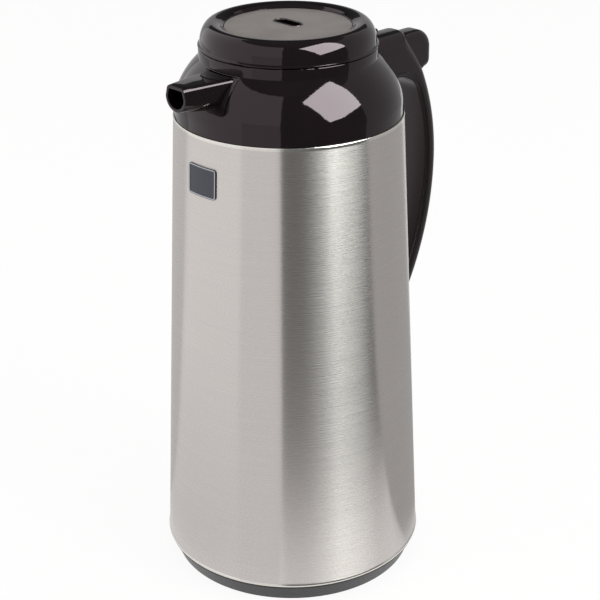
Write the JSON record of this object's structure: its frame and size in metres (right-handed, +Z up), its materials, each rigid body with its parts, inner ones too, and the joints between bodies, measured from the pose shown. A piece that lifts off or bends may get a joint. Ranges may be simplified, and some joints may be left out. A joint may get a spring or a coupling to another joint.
{
  "type": "thermal carafe with flip lid",
  "caption": "Tapered steel thermal carafe with a glass vacuum liner, a flip lid carrying a lever-worked pour valve, a spout and a bow handle.",
  "frame": {"origin": "centre of the foot's underside, on the table", "axes": "+Z up, +X towards the handle, spout towards -X, the part is symmetric about Y = 0"},
  "size_m": [0.1883, 0.1466, 0.3119],
  "materials": {
    "sleeve_steel": "fine horizontal brushing",
    "shoulder_plastic": "polished black moulding",
    "handle_plastic": "smooth black moulding",
    "insert_plastic": "fine satin black",
    "lid_plastic": "polished black moulding",
    "plate_plastic": "satin dark grey",
    "lever_plastic": "smooth black moulding",
    "foot_plastic": "satin dark grey",
    "cover_plastic": "satin dark grey",
    "badge_metal": "dark grey, bare, thin light border",
    "liner_glass": "silvered double wall",
    "collar_plastic": "satin",
    "stopper_plastic": "satin",
    "valve_plastic": "satin",
    "seal_rubber": "soft, pale",
    "cushion_rubber": "soft, dark",
    "spring_steel": "drawn wire",
    "screw_steel": "plated",
    "bracket_steel": "plain sheet"
  },
  "bodies": {
    "body": {"base_foot": "foot_plastic", "bottom_cover": "cover_plastic", "liner_cushion": "cushion_rubber", "glass_liner": "liner_glass", "neck_gasket": "seal_rubber", "steel_sleeve": "sleeve_steel", "badge_plate": "badge_metal", "shoulder": "shoulder_plastic", "pour_collar": "collar_plastic", "spout": "shoulder_plastic", "handle": "handle_plastic", "handle_insert": "insert_plastic", "handle_bracket": "bracket_steel", "nut_plate": "bracket_steel", "bracket_screw": "screw_steel", "shoulder_screws": "screw_steel", "hinge_pin": "screw_steel", "lever_pin": "screw_steel", "lever_spring": "spring_steel"},
    "lid": {"lid_cap": "lid_plastic", "lid_plate": "plate_plastic", "stopper": "stopper_plastic", "stopper_gasket": "seal_rubber", "lid_screws": "screw_steel", "valve_spring": "spring_steel"},
    "valve": {"valve_plug": "valve_plastic", "valve_seal": "seal_rubber"},
    "lever": {"thumb_lever": "lever_plastic"}
  },
  "joints": [
    {"name": "lid_hinge", "type": "hinge", "parent": "body", "child": "lid", "pos_m": [0.0515, 0, 0.29722], "axis": [0, 1, 0], "range_deg": [0, 100]},
    {"name": "lever_press", "type": "hinge", "parent": "body", "child": "lever", "pos_m": [0.072, 0, 0.27892], "axis": [0, 1, 0], "range_deg": [0, 9], "stiffness_Nm_per_rad": 0.25, "springref_deg": -8.59, "deforming": ["lever_spring"]},
    {"name": "valve_slide", "type": "slide", "parent": "lid", "child": "valve", "axis": [0, 0, 1], "range_m": [0, 0.0055], "deforming": ["valve_spring"]}
  ],
  "couplings": [
    {"joint": "valve_slide", "follows": "lever_press", "m_per_rad": 0.035}
  ]
}
